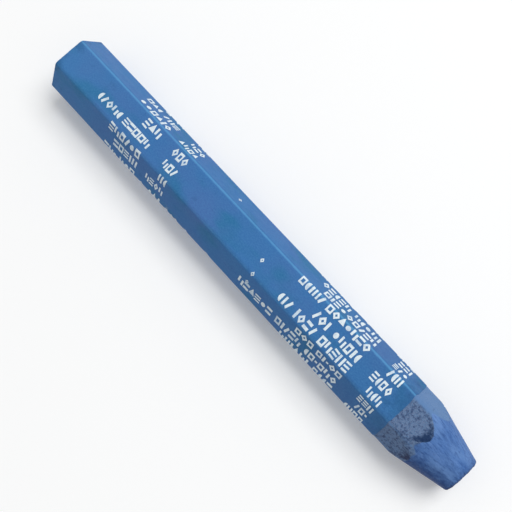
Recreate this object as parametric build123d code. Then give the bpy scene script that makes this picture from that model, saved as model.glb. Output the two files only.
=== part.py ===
"""Lumber crayon: a hexagonal marking stick in a glued paper wrapper. Millimetres.

The crayon lies on one of its six flats. +X runs along it towards the marking face, +Z is up.
The origin is under the middle of its length, level with the flat that it rests on.
"""
from build123d import *
import os
from math import radians, tan

# Driving dimensions
overall_length = 117.0         # rear end to marking face
wrapped_across_flats = 12.7    # over the paper, which is the size that a holder grips
stick_corner_radius = 1.0      # the six long corners of the moulded bar
nose_length = 16.5             # bare stick in front of the wrapper
marking_face_radius = 3.95     # blunt round end, measured to where its rounding would meet the taper
marking_edge_radius = 0.45     # rounding between the taper and the marking face
taper_half_angle = 14.0        # degrees from the axis to the side of the nose
rear_edge_radius = 0.3         # rounding round the rear end of the bar
paper_thickness = 0.1
glue_line = 0.02               # glue film between the bar and the paper
rear_setback = 0.15            # the wrapper ends just short of the rear end of the bar
lap_width = 4.6                # how far the sheet's outer end covers its inner end
lap_ramp = 0.8                 # run over which the outer layer climbs onto the inner one
lap_flat = 4                   # flat that carries the lap; see flat_angle

# Dimensions that follow from them
stick_across_flats = wrapped_across_flats - 2 * (paper_thickness + glue_line)
axis_height = wrapped_across_flats / 2
rear_x = -overall_length / 2
marking_face_x = overall_length / 2
wrapper_rear_x = rear_x + rear_setback
wrapper_front_x = marking_face_x - nose_length
envelope_radius = stick_across_flats  # clears every corner of the bar


def flat_angle(index):
    """Direction that a flat faces, in degrees from +Y. Flat 0 is on top and flat 3 is underneath."""
    return 90 + 60 * index


def section_plane(x):
    """Cross-section plane at x: its own x axis is +Y, its own y axis is +Z, centred on the crayon's axis."""
    return Plane(origin=(x, 0, axis_height), x_dir=(0, 1, 0), z_dir=(1, 0, 0))


def rounded_hexagon(across_flats, corner_radius):
    """Hexagon with a flat on top and rounded corners."""
    hexagon = RegularPolygon(radius=across_flats / 2, side_count=6, major_radius=False)
    return fillet(hexagon.vertices(), corner_radius)


def nose_envelope():
    """Round body, wider than the bar behind the nose, that gives the bar its taper and blunt end."""
    slope = tan(radians(taper_half_angle))
    shoulder_x = marking_face_x - (envelope_radius - marking_face_radius) / slope
    outline = [
        (rear_x, 0),
        (rear_x, envelope_radius),
        (shoulder_x, envelope_radius),
        (marking_face_x, marking_face_radius),
        (marking_face_x, 0),
    ]
    half_section = make_face(Polyline(*outline, close=True))
    marking_edge = [v for v in half_section.vertices() if v.X > marking_face_x - 1e-6 and v.Y > 1e-6]
    half_section = fillet(marking_edge, marking_edge_radius)
    return Pos(0, 0, axis_height) * revolve(half_section, axis=Axis.X)


def make_crayon_stick():
    """Moulded bar: hexagonal along its length, drawn down to a blunt cone at the marking end."""
    section = rounded_hexagon(stick_across_flats, stick_corner_radius)
    bar = extrude(section_plane(rear_x) * section, amount=overall_length, dir=(1, 0, 0))
    stick = bar & nose_envelope()
    rear_face = stick.faces().sort_by(Axis.X)[0]
    return fillet(rear_face.edges(), rear_edge_radius)


def lap_patch(inner_face):
    """Cross-section of the outer layer over the lap, drawn on the lap's flat.

    inner_face is the distance from the axis to the outside of the first layer.
    """
    free_edge = -lap_width / 2
    covered_edge = lap_width / 2
    outline = [
        (inner_face, free_edge),
        (inner_face + paper_thickness, free_edge),
        (inner_face + paper_thickness, covered_edge - lap_ramp),
        (inner_face, covered_edge),
    ]
    return Rot(0, 0, flat_angle(lap_flat)) * make_face(Polyline(*outline, close=True))


def make_paper_wrapper():
    """One sheet, wound once round the bar and lapped on one flat."""
    hollow = rounded_hexagon(stick_across_flats + 2 * glue_line, stick_corner_radius + glue_line)
    first_layer = rounded_hexagon(wrapped_across_flats, stick_corner_radius + glue_line + paper_thickness)
    section = first_layer + lap_patch(wrapped_across_flats / 2) - hollow
    length = wrapper_front_x - wrapper_rear_x
    return extrude(section_plane(wrapper_rear_x) * section, amount=length, dir=(1, 0, 0))


parts = {
    "crayon_stick": make_crayon_stick(),
    "paper_wrapper": make_paper_wrapper(),
}

os.makedirs("parts", exist_ok=True)
for node, piece in parts.items():
    export_step(piece, f"parts/{node}.step")
    box = piece.bounding_box()
    print(f"{node}: volume {piece.volume:.2f} mm3, box {box.min} to {box.max}")
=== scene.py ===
"""Looks of the hexagonal lumber crayon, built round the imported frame. Metres, in the frame's own axes.

The crayon lies along X with its marking face towards +X and one flat underneath. The stick and the paper
wrapper are modelled again at the CAD model's size with their wear, and the print lies on the paper as a
thin film of ink.
"""

from __future__ import annotations

import logging
import math
from collections.abc import Callable
from dataclasses import dataclass, field
from enum import Enum

import bpy
import numpy as np
from mathutils import Matrix, Vector, noise

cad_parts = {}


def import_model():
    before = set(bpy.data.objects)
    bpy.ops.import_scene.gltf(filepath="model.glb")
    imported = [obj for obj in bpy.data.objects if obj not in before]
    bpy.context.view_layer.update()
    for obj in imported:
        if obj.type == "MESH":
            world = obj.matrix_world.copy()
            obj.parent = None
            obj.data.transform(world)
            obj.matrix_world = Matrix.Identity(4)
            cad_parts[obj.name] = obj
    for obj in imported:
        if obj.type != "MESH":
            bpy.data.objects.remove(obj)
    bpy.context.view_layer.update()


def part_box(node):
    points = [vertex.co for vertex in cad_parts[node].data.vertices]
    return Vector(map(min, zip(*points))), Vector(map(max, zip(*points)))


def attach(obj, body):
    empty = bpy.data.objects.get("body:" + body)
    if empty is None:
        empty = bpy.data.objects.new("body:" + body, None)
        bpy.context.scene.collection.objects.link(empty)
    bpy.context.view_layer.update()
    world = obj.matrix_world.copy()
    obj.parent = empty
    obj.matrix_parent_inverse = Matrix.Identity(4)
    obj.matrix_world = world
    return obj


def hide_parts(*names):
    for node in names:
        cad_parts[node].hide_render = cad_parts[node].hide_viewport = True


LOG = logging.getLogger("lumber_crayon")
MM = 0.001
SIXTH = math.radians(60.0)

Colour = tuple[float, float, float]


# ---------------------------------------------------------------------------------------------------------
# Geometry that the pieces share
# ---------------------------------------------------------------------------------------------------------


def smooth_step(low: float, high: float, value: np.ndarray) -> np.ndarray:
    """Smooth ramp from 0 at low to 1 at high.

    Args:
        low: where the ramp leaves 0.
        high: where it reaches 1. It may be below low, and the ramp then falls.
        value: the values to map.

    Returns:
        The ramp's height at each value.
    """
    share = np.clip((value - low) / (high - low), 0.0, 1.0)
    return share * share * (3.0 - 2.0 * share)


def bell(values: np.ndarray, middle: float, width: float) -> np.ndarray:
    """Bell curve that is 1 at the middle and falls away over the width."""
    return np.exp(-(((values - middle) / width) ** 2))


def degrees_round(angles: np.ndarray) -> np.ndarray:
    """Directions in degrees from -180 to 180, for angles in radians."""
    return np.degrees((angles + math.pi) % (2 * math.pi) - math.pi)


def field_noise(points: np.ndarray, octaves: int = 1, seed: float = 0.0) -> np.ndarray:
    """Smooth noise from -1 to 1 at each point.

    Args:
        points: rows of three coordinates, already divided by the size of a lump.
        octaves: how many ever finer layers are added.
        seed: moves the noise, so that two uses differ.

    Returns:
        One value for each point.
    """
    total = np.zeros(len(points))
    for octave in range(octaves):
        gain, pitch = 0.5**octave, 2.0**octave
        shift = seed + 17.3 * octave
        total += gain * np.array([noise.noise(Vector((x, y, z))) for x, y, z in points * pitch + shift])
    return total


def spaced(
    shares: np.ndarray, low: float, high: float, density: Callable[[np.ndarray], np.ndarray]
) -> np.ndarray:
    """Places between two ends, closer together where the density is higher.

    Args:
        shares: numbers from 0 at the low end to 1 at the high end.
        low: the first place.
        high: the last place.
        density: gives how closely the places lie at each place.

    Returns:
        One place for each share.
    """
    fine = np.linspace(low, high, 4001)
    passed = np.concatenate(([0.0], np.cumsum(density((fine[1:] + fine[:-1]) / 2))))
    return np.interp(shares, passed / passed[-1], fine)


@dataclass(frozen=True)
class HexOutline:
    """Hexagon with rounded corners across the crayon, with a flat on top.

    Directions are angles from +Z towards +Y. Places round the outline are lengths from the middle of the
    top flat, growing towards +Y.
    """

    half_flats: float
    corner_radius: float
    axis_height: float

    @property
    def half_flat_length(self) -> float:
        """Half of the straight part of one flat."""
        return (self.half_flats - self.corner_radius) * math.tan(SIXTH / 2)

    @property
    def sixth_length(self) -> float:
        """Length of one flat with half a corner at each end."""
        return 2 * self.half_flat_length + self.corner_radius * SIXTH

    def grown(self, amount: float) -> HexOutline:
        """The same outline moved outwards by an amount."""
        return HexOutline(self.half_flats + amount, self.corner_radius + amount, self.axis_height)

    def reach(self, angles: np.ndarray) -> np.ndarray:
        """Distance from the crayon's axis to the outline.

        Args:
            angles: directions in radians.

        Returns:
            The distance in each direction.
        """
        turned = np.abs((angles + SIXTH / 2) % SIXTH - SIXTH / 2)
        on_flat = self.half_flats / np.cos(turned)
        middle = (self.half_flats - self.corner_radius) / math.cos(SIXTH / 2)
        off_corner = SIXTH / 2 - turned
        under_root = np.maximum(self.corner_radius**2 - (middle * np.sin(off_corner)) ** 2, 0.0)
        on_corner = middle * np.cos(off_corner) + np.sqrt(under_root)
        straight = self.half_flats * np.tan(turned) <= self.half_flat_length
        return np.where(straight, on_flat, on_corner)

    def from_corner(self, around: np.ndarray) -> np.ndarray:
        """Length along the outline from each place to the nearest corner's crest."""
        local = around % self.sixth_length
        return np.abs(local - self.sixth_length / 2)

    def wrap(self, along: np.ndarray, around: np.ndarray, height: np.ndarray) -> np.ndarray:
        """Points on or over the outline, as a sheet lies when it is wrapped round the crayon.

        Args:
            along: places along the crayon.
            around: places round the outline.
            height: heights over the outline.

        Returns:
            Rows of X, Y and Z.
        """
        flat = np.round(around / self.sixth_length)
        local = around - flat * self.sixth_length
        side = np.sign(local)
        past_flat = np.maximum(np.abs(local) - self.half_flat_length, 0.0)
        facing = flat * SIXTH
        turn = facing + side * past_flat / self.corner_radius
        middle = self.half_flats - self.corner_radius
        sideways = side * np.minimum(np.abs(local), self.half_flat_length)
        lift = self.corner_radius + height
        y = np.sin(facing) * middle + np.cos(facing) * sideways + np.sin(turn) * lift
        z = np.cos(facing) * middle - np.sin(facing) * sideways + np.cos(turn) * lift
        return np.column_stack((along, y, z + self.axis_height))


@dataclass(frozen=True)
class Dent:
    """A shallow knock in the bar and the paper on it."""

    along: float
    angle: float
    length: float
    width: float
    depth: float

    def depth_at(self, along: np.ndarray, angles: np.ndarray, radius: float) -> np.ndarray:
        """How deep the dent is at each place.

        Args:
            along: places along the crayon.
            angles: directions from the axis in radians.
            radius: the crayon's radius there, which turns angles into lengths.

        Returns:
            Depths, which are nothing away from the dent.
        """
        turn = (angles - self.angle + math.pi) % (2 * math.pi) - math.pi
        square = ((along - self.along) / self.length) ** 2 + (turn * radius / self.width) ** 2
        return self.depth * np.exp(-square * 2.0)


@dataclass(frozen=True)
class Handling:
    """Unevenness that the bar was moulded with, and knocks from use. The wrapper follows them."""

    depth: float = 0.035 * MM
    dents: tuple[Dent, ...] = (
        Dent(-28.3 * MM, math.radians(-91), 0.45 * MM, 0.7 * MM, 0.20 * MM),
        Dent(-24.1 * MM, math.radians(-91), 0.50 * MM, 0.8 * MM, 0.30 * MM),
        Dent(-22.6 * MM, math.radians(-89), 0.35 * MM, 0.6 * MM, 0.24 * MM),
        Dent(-20.2 * MM, math.radians(-88), 0.60 * MM, 0.9 * MM, 0.36 * MM),
        Dent(-18.4 * MM, math.radians(-92), 0.35 * MM, 0.7 * MM, 0.26 * MM),
        Dent(-17.2 * MM, math.radians(-90), 0.40 * MM, 0.7 * MM, 0.30 * MM),
        Dent(-14.0 * MM, math.radians(-90), 0.50 * MM, 0.6 * MM, 0.20 * MM),
        Dent(-7.4 * MM, math.radians(-89), 0.9 * MM, 0.7 * MM, 0.14 * MM),
        Dent(21.0 * MM, math.radians(91), 1.0 * MM, 0.8 * MM, 0.20 * MM),
        Dent(3.5 * MM, math.radians(149), 1.2 * MM, 0.9 * MM, 0.18 * MM),
        Dent(-38.0 * MM, math.radians(31), 1.4 * MM, 0.5 * MM, 0.06 * MM),
    )

    def density(self, along: np.ndarray) -> np.ndarray:
        """How closely stations along the crayon must lie to follow the dents."""
        dense = np.ones(len(along))
        for dent in self.dents:
            dense = dense + 2.2 * bell(along, dent.along, 1.6 * dent.length)
        return dense

    def sink(self, along: np.ndarray, angles: np.ndarray, radius: float) -> np.ndarray:
        """How far the surface lies inside its true outline.

        Args:
            along: places along the crayon.
            angles: directions from the axis in radians.
            radius: the crayon's mean radius.

        Returns:
            Depths, never negative.
        """
        places = np.column_stack((along * 0.35, np.cos(angles) * radius, np.sin(angles) * radius))
        total = self.depth * (0.5 + 0.5 * np.clip(field_noise(places / (4.0 * MM), 2, 3.1), -1, 1))
        for dent in self.dents:
            total = total + dent.depth_at(along, angles, radius)
        return total


# ---------------------------------------------------------------------------------------------------------
# Modelling by operators
# ---------------------------------------------------------------------------------------------------------


def deselect_all() -> None:
    """Leaves object mode with nothing selected."""
    if bpy.context.object and bpy.context.object.mode != "OBJECT":
        bpy.ops.object.mode_set(mode="OBJECT")
    bpy.ops.object.select_all(action="DESELECT")


def only(piece: bpy.types.Object) -> None:
    """Makes one object the selected and active one."""
    deselect_all()
    piece.select_set(True)
    bpy.context.view_layer.objects.active = piece


def named(name: str) -> bpy.types.Object:
    """Names the active object and its mesh, and returns it."""
    piece = bpy.context.object
    piece.name = piece.data.name = name
    return piece


def settle(piece: bpy.types.Object) -> None:
    """Moves an object's place, turn and scale into its mesh."""
    only(piece)
    bpy.ops.object.transform_apply(location=True, rotation=True, scale=True)


def apply_modifier(piece: bpy.types.Object, kind: str, **settings: object) -> None:
    """Adds a modifier to a piece and applies it.

    Args:
        piece: the object.
        kind: Blender's name for the modifier's type.
        settings: values of the modifier's properties.
    """
    only(piece)
    modifier = piece.modifiers.new(kind.title(), kind)
    for key, value in settings.items():
        setattr(modifier, key, value)
    bpy.ops.object.modifier_apply(modifier=modifier.name)


def edit_all() -> None:
    """Enters edit mode on the active object with everything selected."""
    bpy.ops.object.mode_set(mode="EDIT")
    bpy.ops.mesh.select_all(action="SELECT")


def points_of(piece: bpy.types.Object) -> np.ndarray:
    """A mesh's vertices as rows of X, Y and Z."""
    found = np.empty(len(piece.data.vertices) * 3, np.float32)
    piece.data.vertices.foreach_get("co", found)
    return found.reshape(-1, 3).astype(float)


def move_points(piece: bpy.types.Object, places: np.ndarray) -> None:
    """Puts a mesh's vertices at new places."""
    piece.data.vertices.foreach_set("co", places.astype(np.float32).ravel())
    piece.data.update()


def keep_values(piece: bpy.types.Object, name: str, values: np.ndarray) -> None:
    """Stores one number for each vertex, for the materials to read."""
    made = piece.data.attributes.new(name, "FLOAT", "POINT")
    made.data.foreach_set("value", values.astype(np.float32))


def spin_outline(
    name: str, outline: list[tuple[float, float]], steps: int, axis_height: float
) -> bpy.types.Object:
    """Closed round body, spun about the crayon's axis from a half outline.

    Args:
        name: the object's name.
        outline: places along the crayon and radii. It starts and ends on the axis.
        steps: how many faces go round.
        axis_height: the axis's height.

    Returns:
        The object.
    """
    deselect_all()
    bpy.ops.mesh.primitive_plane_add(size=MM)
    piece = named(name)
    edit_all()
    bpy.ops.mesh.merge(type="CENTER")
    first = Vector((outline[0][0], 0.0, axis_height + outline[0][1]))
    bpy.ops.transform.translate(value=first)
    for (x0, r0), (x1, r1) in zip(outline[:-1], outline[1:]):
        bpy.ops.mesh.extrude_vertices_move(TRANSFORM_OT_translate={"value": (x1 - x0, 0.0, r1 - r0)})
    bpy.ops.mesh.select_all(action="SELECT")
    bpy.ops.mesh.spin(steps=steps, angle=2 * math.pi, center=(0.0, 0.0, axis_height), axis=(1.0, 0.0, 0.0))
    bpy.ops.mesh.select_all(action="SELECT")
    bpy.ops.mesh.remove_doubles(threshold=0.002 * MM)
    bpy.ops.mesh.normals_make_consistent(inside=False)
    bpy.ops.object.mode_set(mode="OBJECT")
    bpy.ops.object.shade_smooth()
    return piece


# ---------------------------------------------------------------------------------------------------------
# Material building
# ---------------------------------------------------------------------------------------------------------

Socket = bpy.types.NodeSocket
Feed = Socket | float | tuple[float, ...]


class Tree:
    """Short calls for building a shader node tree."""

    def __init__(self, tree: bpy.types.NodeTree) -> None:
        """Starts on a tree."""
        self.tree = tree

    def feed(self, socket: Socket, value: Feed) -> None:
        """Links a socket, or sets its value."""
        if isinstance(value, bpy.types.NodeSocket):
            self.tree.links.new(value, socket)
        elif socket.type == "RGBA" and len(value) == 3:
            socket.default_value = (*value, 1.0)
        else:
            socket.default_value = value

    def node(
        self, kind: str, feeds: dict[str | int, Feed] | None = None, **settings: object
    ) -> bpy.types.Node:
        """Adds a node.

        Args:
            kind: Blender's type name without its ShaderNode start.
            feeds: what goes into its inputs, by their name or number.
            settings: values of its properties.

        Returns:
            The node.
        """
        made = self.tree.nodes.new("ShaderNode" + kind)
        for key, value in settings.items():
            setattr(made, key, value)
        for key, value in (feeds or {}).items():
            self.feed(made.inputs[key], value)
        return made

    def math(self, operation: str, first: Feed, second: Feed = 0.0, clamp: bool = False) -> Socket:
        """Result of a math operation on one or two values."""
        feeds = {0: first, 1: second}
        return self.node("Math", feeds, operation=operation, use_clamp=clamp).outputs[0]

    def mix(self, share: Feed, first: Feed, second: Feed, blend: str = "MIX") -> Socket:
        """Colour between two colours."""
        feeds = {0: share, 6: first, 7: second}
        return self.node("Mix", feeds, data_type="RGBA", blend_type=blend).outputs[2]

    def lay(self, mask: Feed, strength: Feed, under: Feed, over: Feed) -> Socket:
        """Colour laid over another one through a mask."""
        return self.mix(self.math("MULTIPLY", mask, strength), under, over)

    def ramp(self, value: Feed, low: float, high: float, start: float = 0.0, end: float = 1.0) -> Socket:
        """Smooth ramp from start at low to end at high."""
        feeds = {"Value": value, "From Min": low, "From Max": high, "To Min": start, "To Max": end}
        return self.node("MapRange", feeds, interpolation_type="SMOOTHSTEP").outputs["Result"]

    def attribute(self, name: str) -> Socket:
        """A number that the mesh keeps for each vertex."""
        return self.node("Attribute", attribute_name=name).outputs["Fac"]

    def place(self, scale: tuple[float, float, float]) -> Socket:
        """Object coordinates, stretched by a scale."""
        coordinates = self.node("TexCoord").outputs["Object"]
        return self.node("Mapping", {"Vector": coordinates, "Scale": scale}).outputs[0]

    def noise(self, vector: Feed, scale: float, detail: float = 3.0, rough: float = 0.55) -> Socket:
        """Noise texture from 0 to 1."""
        feeds = {"Vector": vector, "Scale": scale, "Detail": detail, "Roughness": rough}
        return self.node("TexNoise", feeds).outputs[0]


def new_group(
    name: str, inputs: dict[str, float], outputs: tuple[str, ...]
) -> tuple[bpy.types.NodeTree, Tree, bpy.types.Node, bpy.types.Node]:
    """Empty shader node group with number sockets.

    Args:
        name: the group's name.
        inputs: its inputs and their default values.
        outputs: its outputs.

    Returns:
        The group, the calls for building it, and its input and output nodes.
    """
    group = bpy.data.node_groups.new(name, "ShaderNodeTree")
    for key, value in inputs.items():
        made = group.interface.new_socket(key, in_out="INPUT", socket_type="NodeSocketFloat")
        made.default_value = value
    for key in outputs:
        group.interface.new_socket(key, in_out="OUTPUT", socket_type="NodeSocketFloat")
    return group, Tree(group), group.nodes.new("NodeGroupInput"), group.nodes.new("NodeGroupOutput")


def make_mottle_group() -> bpy.types.NodeTree:
    """Uneven colour and grain: a cloudy value, a speckle mask and a height for bump.

    Returns:
        The group, with Cloud, Speckle and Height outputs.
    """
    inputs = {"Cloud Scale": 300.0, "Grain Scale": 3000.0, "Stretch": 1.0, "Speckle Amount": 0.4}
    group, tree, given, result = new_group("mottle", inputs, ("Cloud", "Speckle", "Height"))
    coordinates = tree.node("TexCoord").outputs["Object"]
    lengthwise = tree.math("DIVIDE", 1.0, given.outputs["Stretch"])
    scale = tree.node("CombineXYZ", {0: lengthwise, 1: 1.0, 2: 1.0}).outputs[0]
    stretched = tree.node("VectorMath", {0: coordinates, 1: scale}, operation="MULTIPLY").outputs[0]
    cloud = tree.node("TexNoise", {"Vector": stretched, "Scale": given.outputs["Cloud Scale"], "Detail": 3.0})
    grain_scale = given.outputs["Grain Scale"]
    grain_feeds = {"Vector": stretched, "Scale": grain_scale, "Detail": 4.0, "Roughness": 0.65}
    grain = tree.node("TexNoise", grain_feeds)
    threshold = tree.math("SUBTRACT", 0.78, tree.math("MULTIPLY", given.outputs["Speckle Amount"], 0.4))
    over = tree.math("SUBTRACT", grain.outputs[0], threshold)
    tree.feed(result.inputs["Cloud"], tree.ramp(cloud.outputs[0], 0.3, 0.7))
    tree.feed(result.inputs["Speckle"], tree.math("MULTIPLY", over, 12.0, clamp=True))
    tree.feed(result.inputs["Height"], grain.outputs[0])
    return group


def make_broken_mask_group() -> bpy.types.NodeTree:
    """Breaks the edge of a mask up, as wear and grime are broken up.

    Returns:
        The group, with a Mask output.
    """
    inputs = {"Mask": 0.0, "Scale": 1500.0, "Breakup": 0.5, "Sharpness": 3.0}
    group, tree, given, result = new_group("broken_mask", inputs, ("Mask",))
    coordinates = tree.node("TexCoord").outputs["Object"]
    feeds = {"Vector": coordinates, "Scale": given.outputs["Scale"], "Detail": 4.0, "Roughness": 0.6}
    pattern = tree.math("SUBTRACT", tree.node("TexNoise", feeds).outputs[0], 0.5)
    spread = tree.math("MULTIPLY", pattern, tree.math("MULTIPLY", given.outputs["Breakup"], 4.0))
    shifted = tree.math("ADD", tree.math("SUBTRACT", given.outputs["Mask"], 0.5), spread)
    steep = tree.math("MULTIPLY", shifted, given.outputs["Sharpness"])
    tree.feed(result.inputs["Mask"], tree.math("ADD", steep, 0.5, clamp=True))
    return group


@dataclass
class Effects:
    """Node groups that several finishes use."""

    mottle: bpy.types.NodeTree = field(default_factory=make_mottle_group)
    broken_mask: bpy.types.NodeTree = field(default_factory=make_broken_mask_group)

    def place_mottle(
        self, tree: Tree, cloud: float, grain: float, stretch: float, speckle: float
    ) -> bpy.types.Node:
        """Places the mottle group in a material with its own values."""
        feeds = {"Cloud Scale": cloud, "Grain Scale": grain, "Stretch": stretch, "Speckle Amount": speckle}
        return self._placed(tree, self.mottle, feeds)

    def place_mask(self, tree: Tree, mask: Feed, scale: float, breakup: float, sharpness: float) -> Socket:
        """Places the broken mask group in a material and returns the mask."""
        feeds = {"Mask": mask, "Scale": scale, "Breakup": breakup, "Sharpness": sharpness}
        return self._placed(tree, self.broken_mask, feeds).outputs["Mask"]

    @staticmethod
    def _placed(tree: Tree, group: bpy.types.NodeTree, feeds: dict[str, Feed]) -> bpy.types.Node:
        """Adds a group node and feeds its inputs."""
        made = tree.tree.nodes.new("ShaderNodeGroup")
        made.node_tree = group
        for key, value in feeds.items():
            tree.feed(made.inputs[key], value)
        return made


def new_material(name: str) -> tuple[bpy.types.Material, Tree, bpy.types.Node]:
    """Material with a Principled BSDF.

    Args:
        name: the material's name.

    Returns:
        The material, the calls for building it, and its shader.
    """
    material = bpy.data.materials.new(name)
    material.use_nodes = True
    shader = material.node_tree.nodes["Principled BSDF"]
    return material, Tree(material.node_tree), shader


def set_sheen(shader: bpy.types.Node, specular: float, colour: Colour) -> None:
    """Sets how strongly a surface shines, and the colour of its shine."""
    shader.inputs["Specular IOR Level"].default_value = specular
    shader.inputs["Specular Tint"].default_value = (*colour, 1.0)


def bump(
    tree: Tree, height: Feed, distance: float, strength: float = 1.0, under: Feed | None = None
) -> Socket:
    """Normal from a height.

    Args:
        tree: the material's tree.
        height: the height, from 0 to 1.
        distance: how high 1 stands, in metres.
        strength: share of the effect.
        under: a normal that this one lies on.

    Returns:
        The normal.
    """
    feeds: dict[str | int, Feed] = {"Height": height, "Distance": distance, "Strength": strength}
    if under is not None:
        feeds["Normal"] = under
    return tree.node("Bump", feeds).outputs[0]


@dataclass(frozen=True)
class WaxFinish:
    """Blue clay-and-wax mix: streaky and violet on the nose, scuffed and grey on the bare hexagon."""

    nose: Colour = (0.068, 0.158, 0.405)
    nose_pale: Colour = (0.125, 0.240, 0.500)
    nose_deep: Colour = (0.020, 0.060, 0.205)
    dusty: Colour = (0.155, 0.280, 0.590)
    clean: Colour = (0.115, 0.220, 0.430)
    scuffed: Colour = (0.085, 0.165, 0.310)
    lilac: Colour = (0.185, 0.250, 0.400)
    fleck: Colour = (0.026, 0.050, 0.130)
    grime: Colour = (0.010, 0.028, 0.085)
    rim: Colour = (0.028, 0.029, 0.078)
    sheen: Colour = (0.25, 0.50, 1.000)
    roughness: float = 0.55
    specular: float = 0.11

    def make(self, effects: Effects) -> bpy.types.Material:
        """Builds the material.

        Args:
            effects: the shared node groups.

        Returns:
            The material.
        """
        material, tree, shader = new_material("marking_wax")
        past_edge = tree.attribute("past_edge")
        from_face = tree.attribute("from_face")
        soil = tree.attribute("soil")
        broad = effects.place_mottle(tree, 260.0, 2600.0, 2.5, 0.35)
        fine = effects.place_mottle(tree, 1400.0, 5200.0, 1.3, 0.6)
        streaks = tree.noise(tree.place((0.12, 1.0, 1.0)), 2600.0, 4.0, 0.65)
        # The nose: violet-blue, paler where it is dusty, deeper in its scratches, and darkened with painted
        # shade on the near side.
        nose = tree.mix(broad.outputs["Cloud"], self.nose, self.nose_pale)
        smears = tree.noise(tree.place((0.16, 1.0, 1.0)), 750.0, 3.0, 0.6)
        nose = tree.mix(tree.ramp(smears, 0.50, 0.75, 0.0, 0.50), nose, self.nose_deep)
        nose = tree.mix(tree.ramp(smears, 0.47, 0.25, 0.0, 0.65), nose, self.dusty)
        nose = tree.mix(tree.ramp(streaks, 0.49, 0.70, 0.0, 0.62), nose, self.nose_deep)
        nose = tree.mix(tree.ramp(streaks, 0.44, 0.28, 0.0, 0.40), nose, self.dusty)
        nose = tree.lay(fine.outputs["Speckle"], 0.35, nose, self.nose_pale)
        # Painted shade: the nose is darkened on its near side and underneath.
        shaded = tree.math("MULTIPLY", tree.attribute("shade"), 0.78)
        near = effects.place_mask(tree, shaded, 800.0, 0.30, 1.8)
        nose = tree.lay(near, 0.94, nose, self.nose_deep)
        notch = tree.math("MULTIPLY", tree.attribute("notch"), tree.ramp(past_edge, 3.4, 0.0))
        smudged = effects.place_mask(tree, tree.math("MULTIPLY", notch, 0.85), 1100.0, 0.28, 1.8)
        nose = tree.lay(smudged, 0.80, nose, self.fleck)
        worn_end = effects.place_mask(tree, tree.ramp(from_face, 4.0, 0.0, 0.0, 0.6), 900.0, 0.35, 2.2)
        nose = tree.lay(worn_end, 0.45, nose, self.nose_deep)
        # The bare hexagon: pale where it is clean, otherwise scuffed lilac-grey with dark flecks.
        scuffs = tree.mix(tree.ramp(fine.outputs["Height"], 0.36, 0.62), self.scuffed, self.lilac)
        scuffs = tree.lay(fine.outputs["Speckle"], 0.75, scuffs, self.fleck)
        dark = tree.ramp(tree.noise(tree.place((1.0, 1.0, 1.0)), 1500.0, 5.0, 0.68), 0.47, 0.63, 0.0, 0.74)
        scuffs = tree.mix(dark, scuffs, self.fleck)
        scuffed = effects.place_mask(tree, soil, 1500.0, 0.25, 1.8)
        bare = tree.mix(scuffed, self.clean, scuffs)
        scuffed_to = tree.math("SUBTRACT", past_edge, tree.math("MULTIPLY", tree.attribute("notch"), 2.4))
        on_nose = effects.place_mask(tree, tree.ramp(scuffed_to, -0.45, 0.45), 2000.0, 0.26, 2.4)
        colour = tree.mix(on_nose, bare, nose)
        # Grime that has gathered along the front of each scalloped flat.
        band = tree.math("MULTIPLY", tree.ramp(past_edge, -2.3, -0.7), tree.ramp(past_edge, 0.35, -0.15))
        heavy = tree.math("MULTIPLY", band, tree.attribute("grime"))
        grime = effects.place_mask(tree, heavy, 1300.0, 0.42, 1.7)
        grime_hue = tree.lay(tree.attribute("shade"), 0.8, self.grime, self.rim)
        colour = tree.lay(grime, 0.92, colour, grime_hue)
        # The rim of the marking face is dirty too, and darker still on the near side and underneath, as
        # painted shade.
        rim = effects.place_mask(tree, tree.ramp(from_face, 0.9, 0.0, 0.0, 0.80), 1500.0, 0.50, 1.7)
        rim_dirt_and_shade = tree.ramp(tree.attribute("shade"), 0.0, 1.0, 0.50, 0.88)
        colour = tree.lay(rim, rim_dirt_and_shade, colour, self.rim)
        tree.feed(shader.inputs["Base Color"], colour)
        roughness = tree.ramp(broad.outputs["Cloud"], 0.0, 1.0, self.roughness - 0.10, self.roughness + 0.1)
        tree.feed(shader.inputs["Roughness"], roughness)
        scratched = bump(tree, streaks, 0.06 * MM, 0.8)
        grained = bump(tree, fine.outputs["Height"], 0.05 * MM, 0.9, scratched)
        tree.feed(shader.inputs["Normal"], grained)
        set_sheen(shader, self.specular, self.sheen)
        return material


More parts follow.
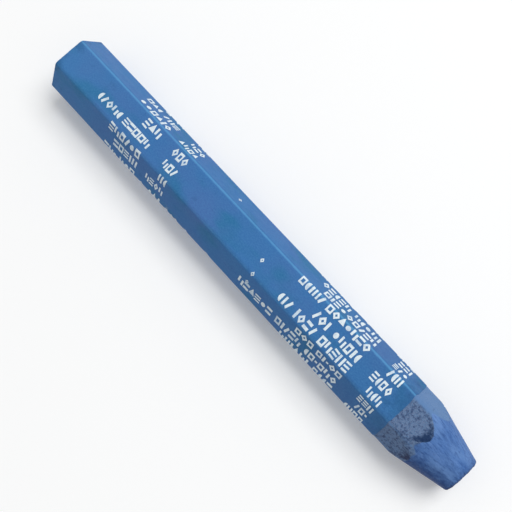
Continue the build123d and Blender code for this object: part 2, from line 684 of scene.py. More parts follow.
@dataclass(frozen=True)
class PaperFinish:
    """Blue printed paper with a light satin, rubbed pale along its corners with a painted highlight along the
    upper far one, and soiled at its front.
    """

    blue: Colour = (0.044, 0.158, 0.402)
    violet: Colour = (0.062, 0.148, 0.390)
    teal: Colour = (0.024, 0.148, 0.320)
    rubbed_and_highlight: Colour = (0.110, 0.330, 0.600)
    fibre: Colour = (0.300, 0.400, 0.520)
    soiled: Colour = (0.012, 0.060, 0.150)
    sheen: Colour = (0.15, 0.62, 1.000)
    roughness: float = 0.46
    specular: float = 0.08

    def make(self, effects: Effects) -> bpy.types.Material:
        """Builds the material.

        Args:
            effects: the shared node groups.

        Returns:
            The material.
        """
        material, tree, shader = new_material("wrapper_paper")
        edge = tree.attribute("from_edge")
        broad = effects.place_mottle(tree, 110.0, 2400.0, 1.6, 0.3)
        fibres = effects.place_mottle(tree, 900.0, 3800.0, 1.6, 0.5)
        colour = tree.mix(broad.outputs["Cloud"], self.blue, self.violet)
        patches = tree.ramp(tree.noise(tree.place((0.5, 1.0, 1.0)), 170.0, 2.0), 0.48, 0.70, 0.0, 0.85)
        colour = tree.mix(patches, colour, self.teal)
        # Handled more towards the marking end, and a little faded towards the other.
        along = tree.node("SeparateXYZ", {0: tree.node("TexCoord").outputs["Object"]}).outputs[0]
        colour = tree.mix(tree.ramp(along, 0.0, 0.050, 0.0, 0.22), colour, self.soiled)
        colour = tree.mix(tree.ramp(along, -0.030, -0.060, 0.0, 0.10), colour, self.rubbed_and_highlight)
        fleck = tree.ramp(fibres.outputs["Height"], 0.3, 0.7)
        colour = tree.lay(fleck, 0.20, colour, self.rubbed_and_highlight)
        colour = tree.lay(broad.outputs["Speckle"], 0.25, colour, self.soiled)
        smudge = effects.place_mask(tree, tree.ramp(edge, 5.5, 0.0, 0.05, 0.45), 420.0, 0.45, 2.2)
        colour = tree.lay(smudge, 0.40, colour, self.soiled)
        # Rubbed corners, a painted highlight along the upper far corner, and torn spots.
        rubbed_and_highlight = effects.place_mask(tree, tree.math("MULTIPLY", tree.attribute("rub"), 0.8), 900.0, 0.16, 2.0)
        colour = tree.lay(rubbed_and_highlight, 0.60, colour, self.rubbed_and_highlight)
        torn = effects.place_mask(tree, tree.attribute("torn"), 2600.0, 0.3, 3.0)
        colour = tree.lay(torn, 0.75, colour, self.fibre)
        tree.feed(shader.inputs["Base Color"], colour)
        gloss = tree.ramp(fibres.outputs["Cloud"], 0.0, 1.0, self.roughness - 0.04, self.roughness + 0.06)
        tree.feed(shader.inputs["Roughness"], gloss)
        soft = bump(tree, broad.outputs["Cloud"], 0.02 * MM, 0.5)
        tree.feed(shader.inputs["Normal"], bump(tree, fibres.outputs["Height"], 0.018 * MM, 0.8, soft))
        set_sheen(shader, self.specular, self.sheen)
        return material


@dataclass(frozen=True)
class InkFinish:
    """White print, thin enough in places for the blue to show."""

    white: Colour = (0.700, 0.800, 0.860)
    thin: Colour = (0.300, 0.450, 0.640)
    roughness: float = 0.5

    def make(self, effects: Effects) -> bpy.types.Material:
        """Builds the material.

        Args:
            effects: the shared node groups.

        Returns:
            The material.
        """
        material, tree, shader = new_material("print_ink")
        broad = effects.place_mottle(tree, 500.0, 3800.0, 1.0, 0.55)
        thin = tree.ramp(broad.outputs["Cloud"], 0.45, 1.0, 0.0, 0.45)
        colour = tree.mix(thin, self.white, self.thin)
        colour = tree.lay(broad.outputs["Speckle"], 0.6, colour, self.thin)
        tree.feed(shader.inputs["Base Color"], colour)
        tree.feed(shader.inputs["Roughness"], tree.ramp(thin, 0.0, 1.0, self.roughness, self.roughness + 0.1))
        return material


# ---------------------------------------------------------------------------------------------------------
# The pieces
# ---------------------------------------------------------------------------------------------------------


@dataclass
class CrayonStick:
    """The moulded bar: hexagonal, drawn down to a blunt cone at its marking end."""

    outline: HexOutline
    rear: float
    front: float
    wrapper_front: float
    handling: Handling
    face_radius: float = 3.95 * MM
    face_rounding: float = 0.6 * MM
    half_angle: float = math.radians(14.0)
    rear_rounding: float = 0.3 * MM
    edge_softness: float = 0.16 * MM
    hidden_gap: float = 0.08 * MM
    steps_round: int = 256
    hidden_stations: int = 76
    nose_step: float = 0.13 * MM

    def taper(self, along: np.ndarray) -> np.ndarray:
        """Radius of the cone that the nose is drawn down to."""
        return self.face_radius + (self.front - along) * math.tan(self.half_angle)

    def edge_place(self, angles: np.ndarray) -> np.ndarray:
        """Where along the crayon the cone meets the hexagon in each direction: the scalloped edge."""
        return self.front - (self.outline.reach(angles) - self.face_radius) / math.tan(self.half_angle)

    def _half_outline(self) -> list[tuple[float, float]]:
        """Half outline of a round body whose radius is 1 mm where the bar's side will be."""
        face = [(self.rear, share * MM) for share in np.linspace(0.0, 0.94, 12)]
        turn = np.linspace(0.0, math.pi / 2, 6)
        rear_edge = [
            (self.rear + self.rear_rounding * (1 - math.cos(a)), (0.955 + 0.045 * math.sin(a)) * MM)
            for a in turn
        ]
        ends = (self.rear + 2 * MM, self.wrapper_front - 2 * MM)
        shares = np.linspace(0, 1, self.hidden_stations)
        hidden = [(x, MM) for x in spaced(shares, *ends, self.handling.density)]
        nose_from, nose_to = self.wrapper_front - 1.2 * MM, self.front - self.face_rounding
        count = round((nose_to - nose_from) / self.nose_step)
        nose = [(x, MM) for x in np.linspace(nose_from, nose_to, count)]
        drop = self.face_rounding / self.face_radius
        turn = np.linspace(0.0, math.pi / 2, 9)[1:]
        front_edge = [
            (nose_to + self.face_rounding * math.sin(a), (1 - drop * (1 - math.cos(a))) * MM) for a in turn
        ]
        front_face = [(self.front, share * (1 - drop) * MM) for share in np.linspace(0.94, 0.0, 16)]
        return [*face, *rear_edge, *hidden, *nose, *front_edge, *front_face]

    def build(self) -> bpy.types.Object:
        """Spins the round body and draws it to the bar's true shape and wear.

        Returns:
            The stick, with its zones kept on its vertices.
        """
        axis = self.outline.axis_height
        piece = spin_outline("crayon_stick_worn", self._half_outline(), self.steps_round, axis)
        places = points_of(piece)
        along = places[:, 0]
        share = np.hypot(places[:, 1], places[:, 2] - axis) / MM
        angles = np.arctan2(places[:, 1], places[:, 2] - axis)
        past_edge = along - self.edge_place(angles)
        radius = self._side_radius(along, angles)
        radius -= self._wear(along, angles, past_edge)
        spread = radius * share
        face_dip = self._face_dip(places, share, angles)
        moved = np.column_stack((along - face_dip, np.sin(angles) * spread, axis + np.cos(angles) * spread))
        move_points(piece, moved)
        keep_values(piece, "past_edge", past_edge / MM)
        keep_values(piece, "from_face", (self.front - along) / MM + 7.0 * np.clip(0.92 - share, 0, 1))
        outer = smooth_step(0.15, 0.95, share)
        keep_values(piece, "grime", self._grime(angles))
        at_nose = smooth_step(self.wrapper_front - 3 * MM, self.wrapper_front - 2 * MM, along)
        soil = self._soil(angles) * outer + 0.4 * (1 - outer)
        keep_values(piece, "soil", soil * (0.35 + 0.65 * at_nose))
        # Painted shade for the nose's near side and underside, for the finish to read.
        keep_values(piece, "shade", self._shade(angles) * outer)
        keep_values(piece, "notch", self._notch(angles))
        return piece

    def _side_radius(self, along: np.ndarray, angles: np.ndarray) -> np.ndarray:
        """Distance from the axis to the bar's side: the smaller of hexagon and cone, with a soft edge."""
        hexagon, cone = self.outline.reach(angles), self.taper(along)
        gap = np.clip(1.0 - np.abs(hexagon - cone) / self.edge_softness, 0.0, 1.0)
        return np.minimum(hexagon, cone) - gap * gap * self.edge_softness * 0.25

    def _wear(self, along: np.ndarray, angles: np.ndarray, past_edge: np.ndarray) -> np.ndarray:
        """Depth of the mould's unevenness, scratches, pits and chips on the bare nose."""
        radius = self.outline.half_flats
        sunk = self.handling.sink(along, angles, radius)
        sunk += self.hidden_gap * smooth_step(self.rear + 0.6 * MM, self.rear + 2 * MM, along) * smooth_step(
            self.wrapper_front - 1.0 * MM, self.wrapper_front - 1.4 * MM, along
        )
        bare = smooth_step(self.wrapper_front - 0.2 * MM, self.wrapper_front + 0.4 * MM, along)
        ring = np.column_stack((along, np.cos(angles) * radius, np.sin(angles) * radius)) / MM
        lumps = field_noise(ring * (0.30, 0.45, 0.45), 2, 8.4)
        grooves = field_noise(ring * (0.16, 1.9, 1.9), 2, 21.7)
        pits = np.maximum(field_noise(ring * 1.9, 2, 5.5) - 0.25, 0.0)
        on_nose = smooth_step(-0.2 * MM, 0.4 * MM, past_edge)
        shape = 0.05 * (0.5 + 0.5 * lumps) + 0.028 * np.abs(grooves) * on_nose
        shape = shape + 0.12 * pits * (1 - 0.6 * on_nose)
        near_edge = bell(past_edge, 0.0, 0.5 * MM)
        chips = np.maximum(field_noise(ring * 0.95, 2, 44.0) - 0.15, 0.0) * near_edge * 0.35
        from_face = self.front - along
        end = smooth_step(1.6 * MM, 0.1 * MM, from_face)
        chips = chips + np.maximum(field_noise(ring * 0.8, 2, 61.0) - 0.1, 0.0) * end * 0.55
        return sunk + (shape + chips) * bare * MM

    def _face_dip(self, places: np.ndarray, share: np.ndarray, angles: np.ndarray) -> np.ndarray:
        """How far the two end faces sink in, which roughens them."""
        across = np.column_stack((places[:, 0] * 0, np.sin(angles) * share * 6, np.cos(angles) * share * 6))
        rough = 0.5 + 0.5 * np.clip(field_noise(across * 0.9, 3, 12.0), -1, 1)
        at_front = smooth_step(self.front - 0.25 * MM, self.front - 0.02 * MM, places[:, 0])
        at_rear = smooth_step(self.rear + 0.1 * MM, self.rear + 0.01 * MM, places[:, 0])
        return (0.16 * at_front - 0.08 * at_rear) * rough * MM

    @staticmethod
    def _grime(angles: np.ndarray) -> np.ndarray:
        """How dark the grime is at the front of each bare flat: most on top and on the near side."""
        turn = degrees_round(angles)
        top = bell(turn, -5, 21)
        near = 0.78 * bell(turn, -62, 24)
        others = 0.45 * bell(np.abs(turn), 125, 50)
        return np.maximum(np.maximum(top, near), others)

    @staticmethod
    def _notch(angles: np.ndarray) -> np.ndarray:
        """Where scuffs reach into the nose: at the top flat's near corner and at the one below it."""
        turn = degrees_round(angles)
        return bell(turn, -33, 11) + 0.8 * bell(turn, -90, 14)

    @staticmethod
    def _shade(angles: np.ndarray) -> np.ndarray:
        """How much painted shade darkens the nose: most on the near side and underneath."""
        turn = degrees_round(angles)
        return smooth_step(-10, -72, turn) + 0.7 * smooth_step(100, 150, turn)

    @staticmethod
    def _soil(angles: np.ndarray) -> np.ndarray:
        """How scuffed each bare flat is: the far upper one has stayed clean."""
        turn = degrees_round(angles)
        top = 0.92 * smooth_step(-34, -26, turn) * smooth_step(30, 20, turn)
        near = 0.62 * smooth_step(-92, -84, turn) * smooth_step(-26, -34, turn)
        under = 0.5 * np.maximum(smooth_step(-84, -96, turn), smooth_step(84, 96, turn))
        return np.maximum(np.maximum(top, near), under) + 0.08

    def dress(self, piece: bpy.types.Object, finish: WaxFinish, effects: Effects) -> None:
        """Gives the stick its finish and ties it to the frame."""
        piece.data.materials.clear()
        piece.data.materials.append(finish.make(effects))
        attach(piece, "root")
        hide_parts("crayon_stick")


@dataclass
class PaperWrapper:
    """One sheet of paper, wound once round the bar and lapped on the flat that faces down and away."""

    inner: HexOutline
    rear: float
    front: float
    thickness: float
    handling: Handling
    lap_width: float = 4.6 * MM
    lap_ramp: float = 0.8 * MM
    lap_flat: int = 2
    lap_gap: float = 0.004 * MM
    # Tears in the front edge: which corner, in flats from the top one, and how deep and wide in millimetres.
    tears: tuple[tuple[float, float, float], ...] = (
        (-1.5, 0.42, 0.75), (-0.5, 0.16, 0.5), (0.5, 0.30, 0.9), (1.5, 0.25, 0.6),
    )
    cells_along: int = 210
    cells_round: int = 176

    @property
    def lap_start(self) -> float:
        """Place round the outline where the outer layer starts to climb."""
        return self.lap_flat * self.inner.sixth_length - self.lap_width / 2

    @property
    def inner_end(self) -> float:
        """Place where the sheet starts, one turn before the lap's top."""
        return self.lap_start + self.lap_ramp - 6 * self.inner.sixth_length

    @property
    def free_end(self) -> float:
        """Place where the sheet's outer end lies."""
        return self.lap_start + self.lap_width

    def climb(self, around: np.ndarray) -> np.ndarray:
        """How far the sheet stands off the bar: nothing, or one thickness over the lap."""
        rise = smooth_step(self.lap_start, self.lap_start + self.lap_ramp, around)
        return rise * (self.thickness + self.lap_gap)

    def surface(self, along: np.ndarray, around: np.ndarray, height: float | np.ndarray) -> np.ndarray:
        """Points over the sheet's inner face, with the bar's unevenness.

        Args:
            along: places along the crayon.
            around: places round the outline, from inner_end to free_end.
            height: heights over the sheet's inner face.

        Returns:
            Rows of X, Y and Z.
        """
        angles = around / self.inner.sixth_length * SIXTH
        sunk = self.handling.sink(along, angles, self.inner.half_flats)
        return self.inner.wrap(along, around, self.climb(around) - sunk + height)

    def front_edge(self, around: np.ndarray) -> np.ndarray:
        """How far the cut front edge lies behind its true place: uneven, and torn at some corners."""
        ring = np.column_stack((around / MM, around * 0, around * 0))
        uneven = 0.10 * (0.5 + 0.5 * field_noise(ring * 0.45, 2, 2.2))
        uneven = uneven + 0.05 * np.abs(field_noise(ring * 3.1, 2, 9.9))
        sixth = self.inner.sixth_length
        for corner, depth, width in self.tears:
            uneven = uneven + depth * bell(around, corner * sixth, width * MM)
        return uneven * MM

    def build(self) -> bpy.types.Object:
        """Rolls a flat grid round the bar and gives it its thickness.

        Returns:
            The wrapper, with its distance from the ends and its wear kept on its vertices.
        """
        deselect_all()
        bpy.ops.mesh.primitive_grid_add(
            x_subdivisions=self.cells_along, y_subdivisions=self.cells_round, size=2.0
        )
        piece = named("paper_wrapper_worn")
        flat = points_of(piece)
        eased = spaced((flat[:, 0] + 1) / 2, 0.0, 1.0, self._density_along)
        around = spaced((flat[:, 1] + 1) / 2, self.inner_end, self.free_end, self._density_round)
        front = self.front - self.front_edge(around)
        back_ring = np.column_stack((around / MM * 0.6, around * 0 + 7.7, around * 0))
        back = self.rear + 0.05 * MM * (0.5 + 0.5 * field_noise(back_ring, 2, 30.0))
        along = back + eased * (front - back)
        move_points(piece, self.surface(along, around, 0.0))
        keep_values(piece, "from_edge", np.minimum(front - along, (along - back) * 1.6) / MM)
        keep_values(piece, "torn", self._torn(along, around, front))
        # Rubbed corners, with a painted highlight along the upper far corner.
        keep_values(piece, "rub", self._rub_and_highlight(around))
        only(piece)
        edit_all()
        bpy.ops.mesh.normals_make_consistent(inside=False)
        bpy.ops.object.mode_set(mode="OBJECT")
        self._face_outwards(piece)
        apply_modifier(piece, "SOLIDIFY", thickness=self.thickness, offset=1.0, use_even_offset=False)
        bpy.ops.object.shade_smooth_by_angle(angle=math.radians(50))
        return piece

    def _density_along(self, share: np.ndarray) -> np.ndarray:
        """How closely the stations lie: closest at the front edge and where the knocks are."""
        along = self.rear + share * (self.front - self.rear)
        return self.handling.density(along) + 5.0 * bell(along, self.front, 1.2 * MM)

    def _density_round(self, around: np.ndarray) -> np.ndarray:
        """How closely the columns lie: closest round the corners."""
        return 1.0 + 2.2 * bell(self.inner.from_corner(around), 0.0, 0.9 * MM)

    def _rub_and_highlight(self, around: np.ndarray) -> np.ndarray:
        """How pale the corner crests are: every corner rubbed pale a little, and most the upper far corner,
        as a painted highlight.
        """
        sixth = self.inner.sixth_length
        upper_highlight = bell(around, 0.5 * sixth, 0.30 * MM)
        return np.maximum(upper_highlight, 0.42 * bell(self.inner.from_corner(around), 0.0, 0.35 * MM))

    def _face_outwards(self, piece: bpy.types.Object) -> None:
        """Turns the sheet's faces over if they point at the bar."""
        middle = piece.data.polygons[len(piece.data.polygons) // 2]
        away = Vector((0.0, middle.center.y, middle.center.z - self.inner.axis_height))
        if middle.normal.dot(away) < 0:
            piece.data.flip_normals()

    def _torn(self, along: np.ndarray, around: np.ndarray, front: np.ndarray) -> np.ndarray:
        """Where the print is rubbed through to the fibres: at dents, and in spots on the front edge."""
        angles = around / self.inner.sixth_length * SIXTH
        total = np.zeros(len(along))
        for dent in self.handling.dents:
            total += dent.depth_at(along, angles, self.inner.half_flats) / MM * 2.2
        crest = bell(self.inner.from_corner(around), 0.0, 0.45 * MM)
        edge = bell(along, front, 0.30 * MM)
        return np.clip(total + 0.22 * crest * edge, 0.0, 0.6)

    def dress(self, piece: bpy.types.Object, finish: PaperFinish, effects: Effects) -> None:
        """Gives the wrapper its finish and ties it to the frame."""
        piece.data.materials.clear()
        piece.data.materials.append(finish.make(effects))
        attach(piece, "root")
        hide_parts("paper_wrapper")


class Mark(Enum):
    """Simple shapes that stand where the real wrapper has its print. None is drawn as a letter."""

    BAR = "bar"
    SLANT = "slant"
    TWIN = "twin"
    STACK = "stack"
    STAGGER = "stagger"
    FRAME = "frame"
    DIAMOND = "diamond"
    DISC = "disc"
    HALF_DISC = "half_disc"
    WEDGE = "wedge"
    PAIR = "pair"
    DOT = "dot"


# How often each shape turns up, and how much of a full mark's width it takes.
MARK_SHARES = {
    Mark.BAR: (0.07, 0.50),
    Mark.SLANT: (0.08, 0.80),
    Mark.TWIN: (0.09, 1.0),
    Mark.STACK: (0.10, 0.95),
    Mark.STAGGER: (0.12, 1.0),
    Mark.FRAME: (0.15, 1.0),
    Mark.DIAMOND: (0.12, 1.10),
    Mark.DISC: (0.08, 1.05),
    Mark.HALF_DISC: (0.07, 0.65),
    Mark.WEDGE: (0.05, 0.95),
    Mark.PAIR: (0.10, 0.95),
    Mark.DOT: (0.02, 0.5),
}

# The marks that are cut from a grid: its columns and rows, and which of its cells are left out.
GRID_MARKS = {
    Mark.TWIN: (3, 1, (1,)),
    Mark.STACK: (1, 5, (1, 3)),
    Mark.PAIR: (1, 3, (1,)),
    Mark.STAGGER: (3, 4, (0, 1, 4, 7, 10, 11)),
}


@dataclass(frozen=True)
class PrintGroup:
    """Rows of marks that start side by side and run towards the rear, all the way round the wrapper.

    Attributes:
        rows: how many rows go round.
        offset: how far the middle row lies from the middle of the top flat.
        column: where the short column of three marks starts along the crayon.
        start: where the words start.
        words: how many marks each word of a row has, row by row.
        seed: picks the order of the shapes.
    """

    rows: int
    offset: float
    column: float
    start: float
    words: tuple[tuple[int, ...], ...]
    seed: int


@dataclass
class WrapperPrint:
    """Rows of white marks in two groups on the paper."""

    wrapper: PaperWrapper
    groups: tuple[PrintGroup, ...] = (
        PrintGroup(
            16, 0.3 * MM, 38.4 * MM, 29.8 * MM,
            ((6, 4), (8,), (5, 4), (7, 3), (4, 6), (6, 5, 6), (5, 3), (5, 4, 3),
             (5, 3), (7, 5), (9,), (5, 5), (4, 4, 3), (7,), (5, 3), (6, 5)), 5,
        ),
        PrintGroup(
            14, 1.8 * MM, -22.2 * MM, -30.5 * MM,
            ((5,), (4, 3), (6,), (3, 3), (5,), (6,), (5, 5),
             (3,), (6,), (3, 3), (5,), (4, 4), (6,), (3,)), 77,
        ),
    )
    strays: tuple[tuple[float, float], ...] = (
        (2.9 * MM, -0.2 * MM), (3.6 * MM, -3.4 * MM), (3.5 * MM, -6.3 * MM), (-9.9 * MM, 6.3 * MM),
    )
    height: float = 2.0 * MM
    width: float = 1.42 * MM
    space: float = 0.28 * MM
    lift: float = 0.012 * MM
    film: float = 0.014 * MM
    cuts_per_corner: int = 7
    edge_room: float = 0.6
    column_size: tuple[float, float] = (0.80, 0.95)
    low_row: float = 0.84

    def _template(self, mark: Mark) -> bpy.types.Object:
        """Models one flat mark, 1 wide and 1 high, in the XY plane."""
        deselect_all()
        if mark in GRID_MARKS:
            return self._grid_template(mark)
        if mark is Mark.DIAMOND:
            bpy.ops.mesh.primitive_circle_add(vertices=4, radius=0.56, fill_type="NGON")
        elif mark in (Mark.DISC, Mark.HALF_DISC):
            bpy.ops.mesh.primitive_circle_add(vertices=14, radius=0.5, fill_type="NGON")
        elif mark is Mark.WEDGE:
            bpy.ops.mesh.primitive_circle_add(vertices=3, radius=0.6, fill_type="NGON")
        else:
            bpy.ops.mesh.primitive_plane_add(size=1.0)
        piece = named("mark_" + mark.value)
        edit_all()
        if mark in (Mark.BAR, Mark.SLANT):
            bpy.ops.transform.resize(value=(0.38, 1.0, 1.0))
        if mark is Mark.SLANT:
            bpy.ops.transform.rotate(value=0.45, orient_axis="Z", center_override=(0.0, 0.0, 0.0))
        if mark is Mark.DOT:
            bpy.ops.transform.resize(value=(0.40, 0.30, 1.0))
        if mark is Mark.HALF_DISC:
            bpy.ops.mesh.bisect(plane_co=(0.06, 0.0, 0.0), plane_no=(1.0, 0.0, 0.0), clear_outer=True)
            bpy.ops.mesh.select_all(action="SELECT")
            bpy.ops.transform.translate(value=(0.2, 0.0, 0.0))
        if mark in (Mark.FRAME, Mark.DIAMOND):
            bpy.ops.mesh.inset(thickness=0.26)
            bpy.ops.mesh.delete(type="FACE")
        if mark is Mark.DISC:
            bpy.ops.transform.resize(value=(0.80, 0.62, 1.0))
        bpy.ops.object.mode_set(mode="OBJECT")
        return piece

    @staticmethod
    def _grid_template(mark: Mark) -> bpy.types.Object:
        """Models a flat mark from a grid with some of its cells left out."""
        columns, rows, left_out = GRID_MARKS[mark]
        bpy.ops.mesh.primitive_grid_add(x_subdivisions=columns, y_subdivisions=rows, size=1.0)
        piece = named("mark_" + mark.value)
        bpy.ops.object.mode_set(mode="EDIT")
        bpy.ops.mesh.select_mode(type="FACE")
        bpy.ops.mesh.select_all(action="DESELECT")
        bpy.ops.object.mode_set(mode="OBJECT")
        for index in left_out:
            piece.data.polygons[index].select = True
        bpy.ops.object.mode_set(mode="EDIT")
        bpy.ops.mesh.delete(type="FACE")
        bpy.ops.mesh.select_mode(type="VERT")
        bpy.ops.object.mode_set(mode="OBJECT")
        return piece

    def _run(
        self,
        start: float,
        around: float,
        words: tuple[int, ...],
        size: tuple[float, float],
        order: np.random.Generator,
    ) -> list[tuple[Mark, Matrix]]:
        """Lays the marks of one row out, flat: X along the crayon, Y round it.

        Args:
            start: where the first mark lies along the crayon.
            around: the row's place round the wrapper.
            words: how many marks each word has.
            size: shares of a full mark's width and height.
            order: picks the shapes.

        Returns:
            Each mark's shape, and where it lies with its size.
        """
        marks, along = [], start
        shares = np.array([share for share, _ in MARK_SHARES.values()])
        for word in words:
            for _ in range(word):
                mark = list(Mark)[order.choice(len(shares), p=shares / shares.sum())]
                width = self.width * size[0] * MARK_SHARES[mark][1]
                uneven = order.normal(1.0, 0.04, 2)
                wide, high = self.width * size[0] * uneven[0], self.height * size[1] * uneven[1]
                shape = Matrix.Diagonal((wide, high, 1.0, 1.0))
                centre = Vector((along - width / 2, around + order.normal(0.0, 0.03 * MM), 0.0))
                shape = Matrix.Rotation(order.normal(0.0, 0.035), 4, "Z") @ shape
                marks.append((mark, Matrix.Translation(centre) @ shape))
                along -= width + self.space * size[1]
            along -= self.height * size[1] * 0.5
        return marks

    def _marks(self) -> list[tuple[Mark, Matrix]]:
        """Every mark on the wrapper."""
        marks: list[tuple[Mark, Matrix]] = []
        turn, room = 6 * self.wrapper.inner.sixth_length, self.edge_room * self.height
        for group in self.groups:
            order = np.random.default_rng(group.seed)
            pitch = turn / group.rows
            for row in range(group.rows):
                around = (row - group.rows // 2) * pitch + group.offset
                if around > self.wrapper.free_end - room:
                    around -= turn
                if around < self.wrapper.free_end - turn + room:
                    continue
                count = 4 if row % 4 == 0 else 3
                tall = self.low_row if row % 3 == 0 else 1.0
                marks += self._run(group.column, around, (count,), self.column_size, order)
                marks += self._run(group.start, around, group.words[row], (1.0, tall), order)
        for along, around in self.strays:
            shape = Matrix.Diagonal((self.width * 0.55, self.height * 0.5, 1.0, 1.0))
            marks.append((Mark.DIAMOND, Matrix.Translation(Vector((along, around, 0.0))) @ shape))
        return marks

    def _joined(self) -> bpy.types.Object:
        """Lays every row out flat and joins the marks into one mesh."""
        templates = {mark: self._template(mark) for mark in Mark}
        copies = []
        for mark, place in self._marks():
            copy = templates[mark].copy()
            copy.data = templates[mark].data.copy()
            bpy.context.scene.collection.objects.link(copy)
            copy.matrix_world = place
            copies.append(copy)
        deselect_all()
        for copy in copies:
            copy.select_set(True)
        bpy.context.view_layer.objects.active = copies[0]
        bpy.ops.object.join()
        piece = named("wrapper_print")
        settle(piece)
        for template in templates.values():
            bpy.data.objects.remove(template)
        return piece

    def _cut_at_corners(self, piece: bpy.types.Object) -> None:
        """Cuts the flat marks where they will turn over a corner of the wrapper."""
        sixth = self.wrapper.inner.sixth_length
        arc = self.wrapper.inner.corner_radius * SIXTH
        only(piece)
        bpy.ops.object.mode_set(mode="EDIT")
        for corner in range(-5, 4):
            crest = (corner + 0.5) * sixth
            for place in np.linspace(crest - arc / 2, crest + arc / 2, self.cuts_per_corner):
                bpy.ops.mesh.select_all(action="SELECT")
                bpy.ops.mesh.bisect(plane_co=(0.0, float(place), 0.0), plane_no=(0.0, 1.0, 0.0))
        bpy.ops.object.mode_set(mode="OBJECT")

    def build(self) -> bpy.types.Object:
        """Wraps the flat rows round the paper and gives the ink its thickness.

        Returns:
            The print as one mesh.
        """
        piece = self._joined()
        self._cut_at_corners(piece)
        flat = points_of(piece)
        height = self.wrapper.thickness + self.lift
        move_points(piece, self.wrapper.surface(flat[:, 0], flat[:, 1], height))
        piece.data.flip_normals()
        apply_modifier(piece, "SOLIDIFY", thickness=self.film, offset=-1.0, use_even_offset=False)
        return piece

    @staticmethod
    def dress(piece: bpy.types.Object, finish: InkFinish, effects: Effects) -> None:
        """Gives the print its ink and ties it to the frame."""
        piece.data.materials.clear()
        piece.data.materials.append(finish.make(effects))
        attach(piece, "root")


# ---------------------------------------------------------------------------------------------------------
# The studio
# ---------------------------------------------------------------------------------------------------------


@dataclass(frozen=True)
class Lamp:
    """A square area lamp that points at the crayon."""

    name: str
    place: tuple[float, float, float]
    size: float
    power: float
    colour: Colour = (1.0, 1.0, 1.0)

    def make(self, target: Vector) -> None:
        """Adds the lamp.

        Args:
            target: the point that it faces.
        """
        data = bpy.data.lights.new(self.name, "AREA")
        data.size = self.size
        data.energy = self.power
        data.color = self.colour
        lamp = bpy.data.objects.new(self.name, data)
        bpy.context.scene.collection.objects.link(lamp)
        lamp.location = self.place
        lamp.rotation_euler = (target - lamp.location).to_track_quat("-Z", "Y").to_euler()


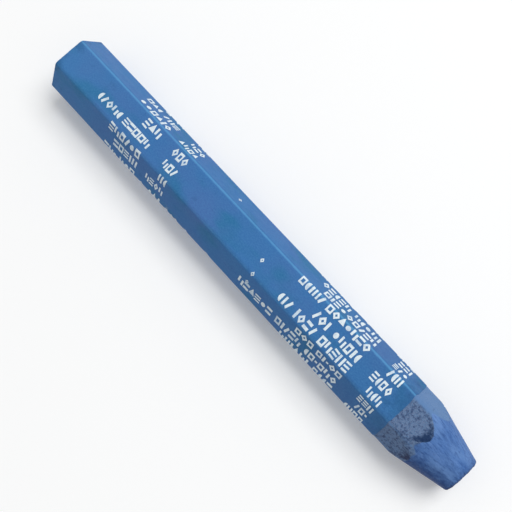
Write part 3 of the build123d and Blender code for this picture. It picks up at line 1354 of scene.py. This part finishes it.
@dataclass(frozen=True)
class Studio:
    """White table, soft light and the camera, which looks steeply down from over the nose."""

    camera_place: tuple[float, float, float] = (0.0404, -0.0149, 0.1860)
    lens: float = 64.0
    image_slope: float = math.radians(47.0)
    floor_size: float = 6.0
    shadow_reach: float = 0.11
    floor_colour: Colour = (0.86, 0.87, 0.88)
    floor_roughness: float = 0.9
    floor_glow: float = 0.12
    surround: float = 0.46
    lamps: tuple[Lamp, ...] = (
        Lamp("key", (0.25, 0.75, 1.30), 0.85, 15.8, (1.0, 0.99, 0.97)),
    )

    def _floor(self) -> None:
        """Adds the table, which keeps the crayon's shadow. Far from the crayon it is seen as plain white."""
        deselect_all()
        bpy.ops.mesh.primitive_plane_add(size=self.floor_size)
        floor = named("floor")
        material, tree, shader = new_material("table_white")
        shader.inputs["Base Color"].default_value = (*self.floor_colour, 1.0)
        shader.inputs["Roughness"].default_value = self.floor_roughness
        shader.inputs["Emission Color"].default_value = (1.0, 1.0, 1.0, 1.0)
        seen = tree.node("LightPath").outputs["Is Camera Ray"]
        tree.feed(shader.inputs["Emission Strength"], tree.math("MULTIPLY", seen, self.floor_glow))
        place = tree.node("TexCoord").outputs["Object"]
        away = tree.node("VectorMath", {0: place}, operation="LENGTH").outputs["Value"]
        share = tree.math("MULTIPLY", seen, tree.ramp(away, self.shadow_reach, 3.0 * self.shadow_reach))
        white = tree.node("Emission", {"Strength": 1.0})
        mixed = tree.node("MixShader", {0: share, 1: shader.outputs[0], 2: white.outputs[0]})
        tree.feed(material.node_tree.nodes["Material Output"].inputs["Surface"], mixed.outputs[0])
        floor.data.materials.append(material)

    def _world(self) -> None:
        """Makes the surround: even light on the crayon, and white where it is seen."""
        world = bpy.data.worlds.new("studio")
        bpy.context.scene.world = world
        world.use_nodes = True
        tree = Tree(world.node_tree)
        path = tree.node("LightPath").outputs
        seen = tree.math("MAXIMUM", path["Is Camera Ray"], path["Is Transmission Ray"])
        background = world.node_tree.nodes["Background"]
        background.inputs["Color"].default_value = (1.0, 1.0, 1.0, 1.0)
        tree.feed(background.inputs["Strength"], tree.ramp(seen, 0.0, 1.0, self.surround, 1.0))

    def _camera(self, target: Vector) -> None:
        """Adds the camera, turned so that the crayon runs down to the right at the image slope."""
        data = bpy.data.cameras.new("camera")
        data.lens = self.lens
        data.clip_start = 0.01
        camera = bpy.data.objects.new("camera", data)
        bpy.context.scene.collection.objects.link(camera)
        place = Vector(self.camera_place)
        forward = (target - place).normalized()
        lengthwise = Vector((1.0, 0.0, 0.0))
        across = (lengthwise - forward * lengthwise.dot(forward)).normalized()
        down = forward.cross(across)
        right = across * math.cos(self.image_slope) - down * math.sin(self.image_slope)
        up = -(across * math.sin(self.image_slope) + down * math.cos(self.image_slope))
        turn = Matrix((right, up, -forward)).transposed().to_4x4()
        camera.matrix_world = Matrix.Translation(place) @ turn
        bpy.context.scene.camera = camera

    def build(self, target: Vector) -> None:
        """Sets the table, the light and the camera up.

        Args:
            target: the point that the camera and the lamps face.
        """
        self._floor()
        self._world()
        for lamp in self.lamps:
            lamp.make(target)
        self._camera(target)
        bpy.context.scene.view_settings.view_transform = "Standard"


# ---------------------------------------------------------------------------------------------------------
# Order of work
# ---------------------------------------------------------------------------------------------------------


def outline_from_box(low: Vector, high: Vector) -> HexOutline:
    """Rounded hexagon that fills a CAD node's box across the crayon.

    Args:
        low: the box's lowest corner.
        high: its highest corner.

    Returns:
        The outline, with the corner radius that gives the box its width.
    """
    across_flats = high.z - low.z
    sharp_reach = across_flats / math.sqrt(3)
    rounding = 2 / math.sqrt(3) - 1
    corner_radius = (sharp_reach - (high.y - low.y) / 2) / rounding
    return HexOutline(across_flats / 2, corner_radius, (high.z + low.z) / 2)


def main() -> None:
    """Builds the crayon, its finishes and the studio, and keeps both boxes."""
    logging.basicConfig(level=logging.INFO, format="%(name)s: %(message)s")
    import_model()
    stick_low, stick_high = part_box("crayon_stick")
    paper_low, paper_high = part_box("paper_wrapper")
    stick_outline = outline_from_box(stick_low, stick_high)
    paper_outline = outline_from_box(paper_low, paper_high)
    paper_thickness = 0.1 * MM
    handling, effects = Handling(), Effects()

    stick = CrayonStick(stick_outline, stick_low.x, stick_high.x, paper_high.x, handling)
    stick_piece = stick.build()
    stick.dress(stick_piece, WaxFinish(), effects)
    LOG.info("stick: %d faces", len(stick_piece.data.polygons))

    ink_room = 0.028 * MM
    inner = paper_outline.grown(-paper_thickness)
    wrapper = PaperWrapper(inner, paper_low.x, paper_high.x, paper_thickness - ink_room, handling)
    wrapper_piece = wrapper.build()
    wrapper.dress(wrapper_piece, PaperFinish(), effects)
    LOG.info("wrapper: %d faces", len(wrapper_piece.data.polygons))

    ink = WrapperPrint(wrapper)
    print_piece = ink.build()
    ink.dress(print_piece, InkFinish(), effects)
    LOG.info("print: %d faces", len(print_piece.data.polygons))

    Studio().build(Vector((0.0, 0.0, stick_outline.axis_height)))


if __name__ == "__main__":
    main()
